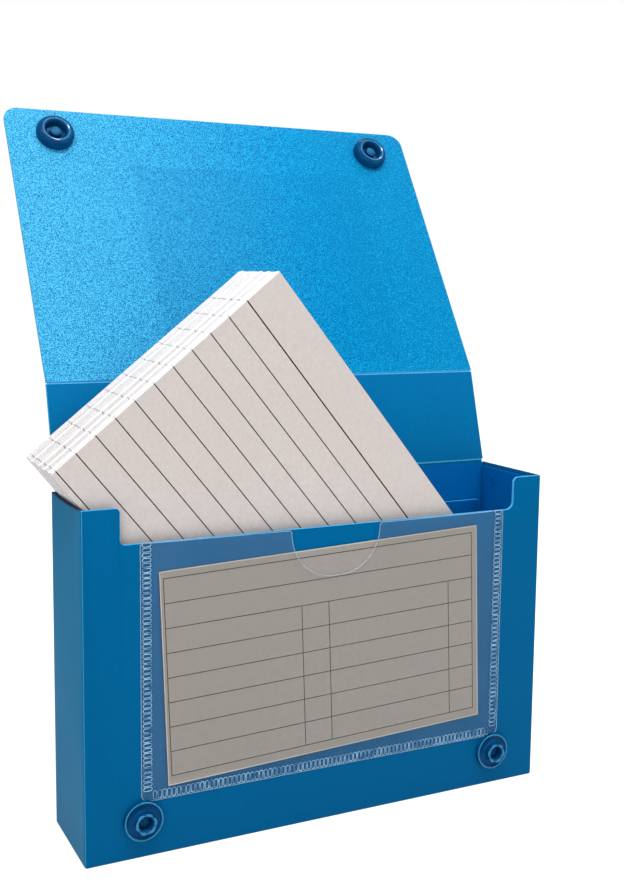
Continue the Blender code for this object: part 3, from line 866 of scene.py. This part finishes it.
# %% [markdown]
# The film's cut edge gets a painted highlight, a pale band all along its outline. An inset of the whole
# outline leaves a narrow band round it, and the band alone is kept and given a little height.

# %% Lip round the film, with its painted highlight
LIP_WIDTH, LIP_HEIGHT = 0.17 * MM, 0.1 * MM
outline = list(bead.faces)
bmesh.ops.inset_region(bead, faces=outline, thickness=LIP_WIDTH, use_even_offset=True, use_boundary=True)
bmesh.ops.delete(bead, geom=outline, context="FACES")
for vert in bead.verts:
    rise = min(max((vert.co.x - pocket_low.x - SEAM) / rise_end, 0), 1)
    rise = min(rise, min(max((pocket_high.x - SEAM - vert.co.x) / rise_end, 0), 1))
    rise = min(rise, min(max((vert.co.z - pocket_low.z - SEAM) / rise_end, 0), 1))
    vert.co.y = seat - FILM - swell * rise * rise * (3 - 2 * rise) + LIP_HEIGHT / 2
thicken(bead, (0, -LIP_HEIGHT, 0), edge_material=0, soften=0)
finish_piece("pocket_film_lip", bead, [film_edge_highlight], "case", ())

# %% [markdown]
# The welding bar leaves a ladder of small rounded slots, each with a raised lip. One lip is a thin
# ring, spun and then pulled long by moving its two halves apart, and it is copied along
# the three seams.

# %% Ladder welds
PITCH = 1.28 * MM
LIP = 0.1 * MM
RING_HALF = 0.5 * MM
RING_STRETCH = 0.62 * MM
ring = bmesh.new()
lip_profile = [(RING_HALF + LIP, 0), (RING_HALF, -LIP), (RING_HALF - LIP, 0), (RING_HALF, LIP)]
ring_verts = [ring.verts.new((radius, height, 0)) for radius, height in lip_profile]
ring_edges = [ring.edges.new((ring_verts[i], ring_verts[(i + 1) % 4])) for i in range(4)]
bmesh.ops.spin(
    ring, geom=ring_verts + ring_edges, axis=(0, 1, 0), cent=(0, 0, 0), dvec=(0, 0, 0),
    angle=2 * pi, steps=12, use_merge=True, use_duplicate=False,
)
bmesh.ops.remove_doubles(ring, verts=ring.verts, dist=0.002 * MM)
for vert in ring.verts:
    vert.co.x += RING_STRETCH if vert.co.x > 1e-7 else -RING_STRETCH
bmesh.ops.recalc_face_normals(ring, faces=ring.faces)
ring_mesh = bpy.data.meshes.new("weld_ring")
ring.to_mesh(ring_mesh)
ring.free()

weld = bmesh.new()
weld_y = seat - FILM - LIP * 0.5
seams = []
side_count = int((CUT_HEIGHT - pocket_low.z - 3.0 * MM) / PITCH) + 1
for index in range(side_count):
    height = CUT_HEIGHT + 0.1 * MM - index * PITCH
    for x in (pocket_low.x + SEAM / 2 + 0.2 * MM, pocket_high.x - SEAM / 2 - 0.2 * MM):
        seams.append(Matrix.Translation((x, weld_y, height - RING_HALF)))
base_count = int((pocket_high.x - pocket_low.x - 2 * SEAM + 1.0 * MM) / PITCH)
base_start = (pocket_low.x + pocket_high.x - (base_count - 1) * PITCH) / 2
for index in range(base_count):
    place = Matrix.Translation((base_start + index * PITCH, weld_y, pocket_low.z + SEAM / 2))
    seams.append(place @ Matrix.Rotation(pi / 2, 4, "Y"))
for matrix in seams:
    merge_copy(weld, ring_mesh, matrix)
print(len(seams), "weld slots")
# The weld lips carry the painted highlight of their material.
finish_piece("pocket_welds", weld, [weld_glint_film], "case", (), smooth_angle=60)

# %% [markdown]
# ## The cards
# The pack is about a hundred ruled cards. One card is a thin block whose faces are cut along its
# red head line and ten blue lines, and it is copied for every card. Each copy gets its own small
# slip and turn, because hands never square a pack quite, and the slips are kept from card
# to card so that the pack falls into clumps.

# %% One ruled card
CARD_LENGTH, CARD_WIDTH, CARD_THICK = 127 * MM, 76.2 * MM, 0.19 * MM
HEAD_MARGIN, LINE_PITCH = 11.5 * MM, 6.35 * MM
BLUE_LINES = 10
LINE, HEAD_LINE = 0.29 * MM, 0.38 * MM
card = bmesh.new()
bmesh.ops.create_cube(card, size=1)
bmesh.ops.scale(card, vec=(CARD_LENGTH, CARD_THICK, CARD_WIDTH), verts=card.verts)
bmesh.ops.translate(card, vec=(CARD_LENGTH / 2, -CARD_THICK / 2, CARD_WIDTH / 2), verts=card.verts)
rules = [CARD_WIDTH - HEAD_MARGIN - LINE_PITCH * line for line in range(BLUE_LINES + 1)]
for height in rules:
    ink_between(card, 2, height, HEAD_LINE if height == rules[0] else LINE)
for face in card.faces:
    middle = face.calc_center_median()
    near = [index for index, height in enumerate(rules) if abs(middle.z - height) < LINE / 4]
    if near and abs(face.normal.z) < 0.5:
        face.material_index = 3 if near[0] == 0 else 2
        if abs(face.normal.x) > 0.5:
            face.material_index = 4
    elif abs(face.normal.y) < 0.5:
        face.material_index = 1
dotted_card = bpy.data.meshes.new("dotted_card")
card.to_mesh(dotted_card)
for face in card.faces:
    if face.material_index == 4:
        face.material_index = 1
clean_card = bpy.data.meshes.new("clean_card")
card.to_mesh(clean_card)
card.free()
print("one card has", len(clean_card.polygons), "faces")

# %% [markdown]
# Where a card lies is the CAD model's own sum: its lower corner stands on the bottom, its lower edge
# rests on the left wall, and its right corner meets the right inner flap.

# %% Where each bundle stands
CARDS_PER_BUNDLE = 9
TILT_SHARES = (1.0, 0.95, 0.75, 0.9, 0.65, 0.5, 0.7, 0.4, 0.55, 0.3, 0.5, 0.45)
LOOSE_TILT = radians(1.0)
GAP = 0.3 * MM
CARD_BASE = SHEET + GAP
REST_TOP = TOP + GAP
base_tilt = radians(50.04887)


def card_place(tilt, lean, foot_depth):
    up = CARD_BASE + CARD_LENGTH * sin(tilt)
    across = SHEET - HALF_WIDTH - (up - REST_TOP) / tan(tilt)
    slope = Matrix.Rotation(lean, 4, "X") @ Matrix.Translation((across, 0, up))
    return Matrix.Translation((0, foot_depth, 0)) @ slope @ Matrix.Rotation(tilt, 4, "Y")


pack_back = BACK - SHEET - 0.4 * MM - 0.6 * MM
counts = [CARDS_PER_BUNDLE] * 11 + [1]
pack_depth = sum(counts) * CARD_THICK + (len(counts) - 1) * GAP
back_lean = radians(-0.2185)
front_lean = radians(1.20672)
DOTTED_SHARE = 0.7
DOT_CARDS = 1
random.seed(7)
slip_along = slip_up = 0.0
clump_left = clump_dots = 0
foot_depth = pack_back
for bundle, count in enumerate(counts):
    tilt = base_tilt + LOOSE_TILT * TILT_SHARES[bundle]
    lean_step = (front_lean - back_lean) / (len(counts) - 1)
    lean = back_lean + lean_step * bundle
    next_share = TILT_SHARES[min(bundle + 1, len(counts) - 1)]
    tilt_step = LOOSE_TILT * (next_share - TILT_SHARES[bundle]) / count
    pitch = CARD_THICK + GAP / count
    cards = bmesh.new()
    for index in range(count):
        if clump_left == 0:
            clump_left = random.randint(2, 7)
            clump_dots = DOT_CARDS if random.random() < DOTTED_SHARE else 0
            slip_along = random.uniform(0.0, 0.06) * MM
            slip_up = random.uniform(0.0, 0.32) * MM
        source = dotted_card if clump_dots > 0 else clean_card
        clump_left -= 1
        clump_dots -= 1
        slip = Vector((slip_along, -index * pitch, slip_up)) if count > 1 else Vector()
        matrix = card_place(tilt + index * tilt_step, lean + index * lean_step / count, foot_depth)
        merge_copy(cards, source, matrix @ Matrix.Translation(slip))
    node = "card_bundle_%02d" % (bundle + 1) if count > 1 else "front_card"
    finish_piece(
        "ruled_" + node, cards, [card_paper, lit_card_edge_paper, blue_ink, red_ink, edge_dot], "cards",
        [node], smooth_angle=20,
    )
    foot_depth -= count * CARD_THICK + GAP
for helper_mesh in (dotted_card, clean_card):
    bpy.data.meshes.remove(helper_mesh)
bpy.data.meshes.remove(ring_mesh)

# %% [markdown]
# ## Floor, light and camera
# The photo is a product picture on white. A pale floor and a white surround stand in for that, with
# one large soft lamp above and in front. The floor is lifted to white for the
# camera and for reflections, and keeps the object's shadow.

# %% Floor
floor_bm = bmesh.new()
bmesh.ops.create_grid(floor_bm, x_segments=1, y_segments=1, size=2.5)
floor_mesh = bpy.data.meshes.new("floor")
floor_bm.to_mesh(floor_mesh)
floor_bm.free()
floor = bpy.data.objects.new("floor", floor_mesh)
bpy.context.scene.collection.objects.link(floor)
floor_material, floor_shader = new_material("floor_paint", 0.9)
floor_shader.inputs["Specular IOR Level"].default_value = 0.0
rays = add_node(floor_material, "ShaderNodeLightPath")
seen = add_node(
    floor_material, "ShaderNodeMath", {"operation": "MAXIMUM"},
    i0=rays.outputs["Is Camera Ray"], i1=rays.outputs["Is Glossy Ray"],
)
see_through = add_node(
    floor_material, "ShaderNodeMath", {"operation": "MAXIMUM"},
    i0=seen.outputs[0], i1=rays.outputs["Is Transmission Ray"],
)
paint = blend_colours(floor_material, see_through.outputs[0], (0.8, 0.8, 0.8, 1), (0.42, 0.42, 0.42, 1))
floor_material.node_tree.links.new(paint, floor_shader.inputs["Base Color"])
lift = add_node(floor_material, "ShaderNodeMath", {"operation": "MULTIPLY"}, i0=see_through.outputs[0])
lift.inputs[1].default_value = 0.82
floor_shader.inputs["Emission Color"].default_value = (1, 1, 1, 1)
floor_material.node_tree.links.new(lift.outputs[0], floor_shader.inputs["Emission Strength"])
floor_mesh.materials.append(floor_material)

# %% Lamps and surround
world = bpy.data.worlds.new("surround")
bpy.context.scene.world = world
world.use_nodes = True
back = world.node_tree.nodes["Background"]
back.inputs["Color"].default_value = (1, 1, 1, 1)
world_rays = world.node_tree.nodes.new("ShaderNodeLightPath")
top_rays = world.node_tree.nodes.new("ShaderNodeMath")
top_rays.operation = "MAXIMUM"
world.node_tree.links.new(world_rays.outputs["Is Camera Ray"], top_rays.inputs[0])
world.node_tree.links.new(world_rays.outputs["Is Glossy Ray"], top_rays.inputs[1])
strength = world.node_tree.nodes.new("ShaderNodeMapRange")
AMBIENT = 0.42
strength.inputs["To Min"].default_value = AMBIENT
strength.inputs["To Max"].default_value = 1.0
world.node_tree.links.new(top_rays.outputs[0], strength.inputs["Value"])
world.node_tree.links.new(strength.outputs["Result"], back.inputs["Strength"])


def add_lamp(name, place, target, size, power):
    data = bpy.data.lights.new(name, "AREA")
    data.shape = "RECTANGLE"
    data.size, data.size_y = size
    data.energy = power
    lamp = bpy.data.objects.new(name, data)
    bpy.context.scene.collection.objects.link(lamp)
    lamp.location = place
    way = Vector(target) - Vector(place)
    lamp.rotation_euler = way.to_track_quat("-Z", "Y").to_euler()
    return lamp


add_lamp("rear_lamp", (0.3, 0.15, 1.1), (0, 0, 0.1), (1.2, 0.16), 5.0)
add_lamp("overhead_lamp", (-0.12, -0.45, 1.15), (-0.12, 0, 0.1), (1.15, 0.14), 10.5)
add_lamp("front_lamp", (-0.9, -1.3, 0.5), (0, 0, 0.1), (0.8, 0.8), 5.0)

# %% [markdown]
# The camera was solved from about sixty points of the photo, so it is set from that result: where it
# stands, which way it looks, its focal length and the small shift of the picture's centre.

# %% Camera
PHOTO_WIDTH, PHOTO_HEIGHT = 624, 879
FOCAL_PIXELS = 1156.35
CENTRE_X, CENTRE_Y = 292.88, 418.68
right = Vector((0.89989, -0.43601, 0.00928))
down = Vector((-0.04236, -0.10856, -0.99319))
ahead = Vector((0.43405, 0.89337, -0.11616))
camera_data = bpy.data.cameras.new("camera")
camera_data.sensor_fit = "AUTO"
camera_data.sensor_width = 36
camera_data.lens = FOCAL_PIXELS * 36 / PHOTO_HEIGHT
camera_data.shift_x = (PHOTO_WIDTH / 2 - CENTRE_X) / PHOTO_HEIGHT
camera_data.shift_y = (CENTRE_Y - PHOTO_HEIGHT / 2) / PHOTO_HEIGHT
camera_data.clip_start = 0.01
camera = bpy.data.objects.new("camera", camera_data)
bpy.context.scene.collection.objects.link(camera)
turn = Matrix((right, -down, -ahead)).transposed().to_4x4()
camera.matrix_world = Matrix.Translation((-0.14117, -0.28003, 0.14460)) @ turn
bpy.context.scene.camera = camera
bpy.context.scene.view_settings.view_transform = "Standard"
